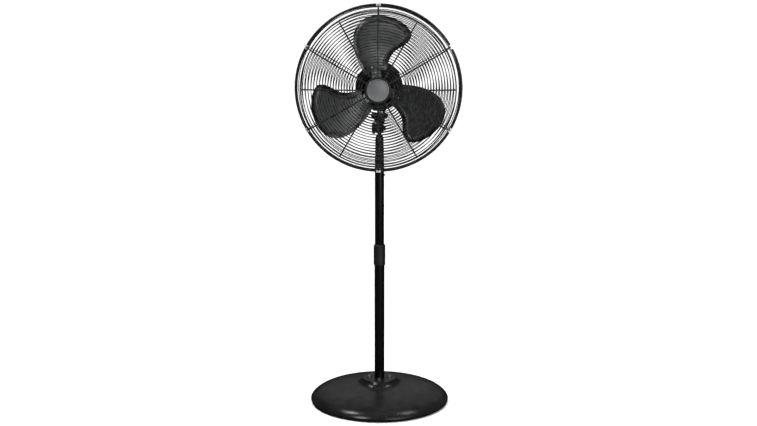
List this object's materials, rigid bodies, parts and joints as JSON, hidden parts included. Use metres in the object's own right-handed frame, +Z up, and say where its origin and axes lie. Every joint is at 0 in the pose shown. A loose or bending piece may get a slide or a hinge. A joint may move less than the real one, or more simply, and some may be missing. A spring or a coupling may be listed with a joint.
{
  "type": "pedestal fan",
  "caption": "Floor-standing pedestal fan with a wire guard, broad metal blades, a tilting and swinging head, a telescopic column and a weighted round base.",
  "frame": {"origin": "on the floor under the axis of the column, at the centre of the base", "axes": "+Z up along the column; the guard and blades face -Y; +X is the viewer's right when facing the front of the fan"},
  "size_m": [0.5644, 0.5, 1.4335],
  "materials": {
    "satin_black_paint": "satin powder coat with a faint orange peel",
    "gloss_black_paint": "semi-gloss paint",
    "guard_wire": "semi-gloss powder coat on steel wire",
    "blade_metal": "dark grey satin metallic",
    "badge_silver": "spun satin",
    "bright_steel": "bright zinc plate",
    "plain_steel": "plain zinc plate",
    "cast_iron": "as cast, painted",
    "black_plastic": "fine moulded grain",
    "nylon": "natural nylon",
    "black_rubber": "matt",
    "copper_wire": "varnished enamelled wire"
  },
  "bodies": {
    "base": {"base_cover": "satin_black_paint", "base_weight": "cast_iron", "base_ring": "black_rubber", "pole_flange": "plain_steel", "flange_bolt_1": "bright_steel", "flange_bolt_2": "bright_steel", "flange_bolt_3": "bright_steel", "flange_bolt_4": "bright_steel", "lower_tube": "gloss_black_paint", "collar_body": "black_plastic", "collar_collet": "nylon"},
    "collar_grip": {"collar_nut": "black_plastic"},
    "column": {"upper_tube": "gloss_black_paint", "neck_post": "satin_black_paint", "neck_set_screw": "plain_steel"},
    "tilt_head": {"tilt_bracket": "satin_black_paint", "tilt_bolt": "plain_steel", "swivel_pin": "plain_steel", "swivel_bush": "nylon", "anchor_screw": "plain_steel"},
    "tilt_clamp": {"tilt_knob": "black_plastic"},
    "head": {"motor_cradle": "satin_black_paint", "cradle_screw_1": "plain_steel", "cradle_screw_2": "plain_steel", "motor_front_shell": "satin_black_paint", "motor_rear_shell": "satin_black_paint", "stator_core": "plain_steel", "stator_winding_front": "copper_wire", "stator_winding_rear": "copper_wire", "front_bearing": "bright_steel", "rear_bearing": "bright_steel", "gearbox_case": "cast_iron", "rear_cover": "satin_black_paint", "cable_gland": "black_plastic", "speed_switch": "black_plastic", "run_capacitor": "nylon", "rear_guard": "guard_wire", "front_guard": "guard_wire", "badge_plate": "black_plastic", "badge_disc": "badge_silver", "guard_clip_1": "bright_steel", "guard_clip_2": "bright_steel", "guard_clip_3": "bright_steel", "guard_clip_4": "bright_steel", "guard_clip_5": "bright_steel", "guard_clip_6": "bright_steel"},
    "rotor": {"motor_shaft": "bright_steel", "rotor_core": "plain_steel", "blade_hub": "blade_metal", "blade_1": "blade_metal", "blade_2": "blade_metal", "blade_3": "blade_metal", "spinner_nut": "black_plastic"},
    "worm_gear": {"worm_wheel": "nylon"},
    "clutch": {"clutch_knob": "black_plastic"},
    "spindle": {"clutch_spindle": "plain_steel"},
    "crank": {"crank_gear": "nylon", "crank_disc": "plain_steel"},
    "link": {"link_arm": "plain_steel"},
    "speed_control": {"speed_knob": "black_plastic"}
  },
  "joints": [
    {"name": "height_slide", "type": "slide", "parent": "base", "child": "column", "axis": [0, 0, 1], "range_m": [-0.24, 0.03]},
    {"name": "collar_twist", "type": "hinge", "parent": "base", "child": "collar_grip", "pos_m": [0, 0, 0.555], "axis": [0, 0, 1], "range_deg": [0, 270]},
    {"name": "tilt", "type": "hinge", "parent": "column", "child": "tilt_head", "pos_m": [0, 0, 0.998], "axis": [-1, 0, 0], "range_deg": [-15, 30]},
    {"name": "tilt_knob_turn", "type": "hinge", "parent": "tilt_head", "child": "tilt_clamp", "pos_m": [-0.02, 0, 0.998], "axis": [-1, 0, 0], "range_deg": [0, 270]},
    {"name": "oscillate", "type": "hinge", "parent": "tilt_head", "child": "head", "pos_m": [0, 0, 1.05], "axis": [0, 0, 1], "range_deg": [-45, 45]},
    {"name": "rotor_spin", "type": "hinge", "parent": "head", "child": "rotor", "pos_m": [0, 0, 1.148], "axis": [0, 1, 0], "continuous": true},
    {"name": "worm_wheel_turn", "type": "hinge", "parent": "head", "child": "worm_gear", "pos_m": [0.0176, 0.07, 1.148], "axis": [0, 0, 1], "continuous": true},
    {"name": "clutch_pull", "type": "slide", "parent": "head", "child": "clutch", "axis": [0, 0, 1], "range_m": [0, 0.006]},
    {"name": "spindle_turn", "type": "hinge", "parent": "clutch", "child": "spindle", "pos_m": [0.0176, 0.07, 1.11], "axis": [0, 0, 1], "range_deg": [-360, 360]},
    {"name": "crank_turn", "type": "hinge", "parent": "head", "child": "crank", "pos_m": [0, 0.095, 1.08], "axis": [0, 0, 1], "range_deg": [-90, 90]},
    {"name": "link_swing", "type": "hinge", "parent": "tilt_head", "child": "link", "pos_m": [0.015, 0, 1.0527], "axis": [0, 0, 1], "range_deg": [-45, 45]},
    {"name": "speed_select", "type": "hinge", "parent": "head", "child": "speed_control", "pos_m": [0, 0.155, 1.148], "axis": [0, 1, 0], "range_deg": [0, 135]}
  ],
  "couplings": [
    {"joint": "crank_turn", "follows": "oscillate", "ratio": -2},
    {"joint": "spindle_turn", "follows": "oscillate", "ratio": 8},
    {"joint": "link_swing", "follows": "oscillate", "ratio": 1},
    {"joint": "worm_wheel_turn", "follows": "rotor_spin", "ratio": -0.041667}
  ]
}
